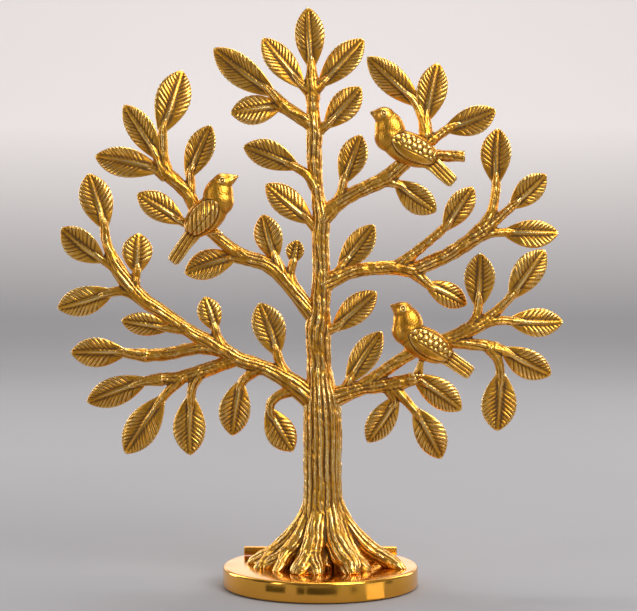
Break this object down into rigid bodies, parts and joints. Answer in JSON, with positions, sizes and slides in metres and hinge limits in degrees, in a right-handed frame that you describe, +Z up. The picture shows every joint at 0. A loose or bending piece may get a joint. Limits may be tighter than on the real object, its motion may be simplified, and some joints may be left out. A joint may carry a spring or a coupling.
{
  "type": "tree of life sculpture",
  "caption": "Cast brass tree of life with a fluted trunk, spreading roots, veined leaves and perching birds, on a round polished base.",
  "frame": {"origin": "middle of the felt's underside, on the axis of the round base", "axes": "+Z up, -Y towards the front, +X to the right seen from the front; the crown lies in the XZ plane"},
  "size_m": [0.2625, 0.102, 0.301],
  "materials": {
    "tree_brass": "cast, dark patina in recesses, rubbed bright on ridges",
    "base_brass": "polished",
    "felt": "felt",
    "screw_steel": "plain"
  },
  "bodies": {
    "root": {"trunk_and_roots": "tree_brass", "leader": "tree_brass", "crown_spray": "tree_brass", "high_left_twig": "tree_brass", "high_right_leaf": "tree_brass", "upper_left_leaf": "tree_brass", "middle_left_leaf": "tree_brass", "upper_right_limb": "tree_brass", "upper_right_spray": "tree_brass", "right_limb": "tree_brass", "right_spray": "tree_brass", "middle_right_leaf": "tree_brass", "lower_right_limb": "tree_brass", "lower_right_spray": "tree_brass", "left_limb": "tree_brass", "left_spray": "tree_brass", "lower_left_limb": "tree_brass", "long_left_twig": "tree_brass", "lower_left_outer_spray": "tree_brass", "lower_left_hanging_spray": "tree_brass", "curled_leaf": "tree_brass", "upper_right_bird": "tree_brass", "lower_right_bird": "tree_brass", "left_bird": "tree_brass", "rear_bar": "tree_brass", "base_disc": "base_brass", "felt_pad": "felt", "trunk_screw": "screw_steel", "trunk_washer": "screw_steel", "trunk_dowel": "screw_steel", "bar_screw_left": "screw_steel", "bar_screw_right": "screw_steel"}
  },
  "joints": []
}
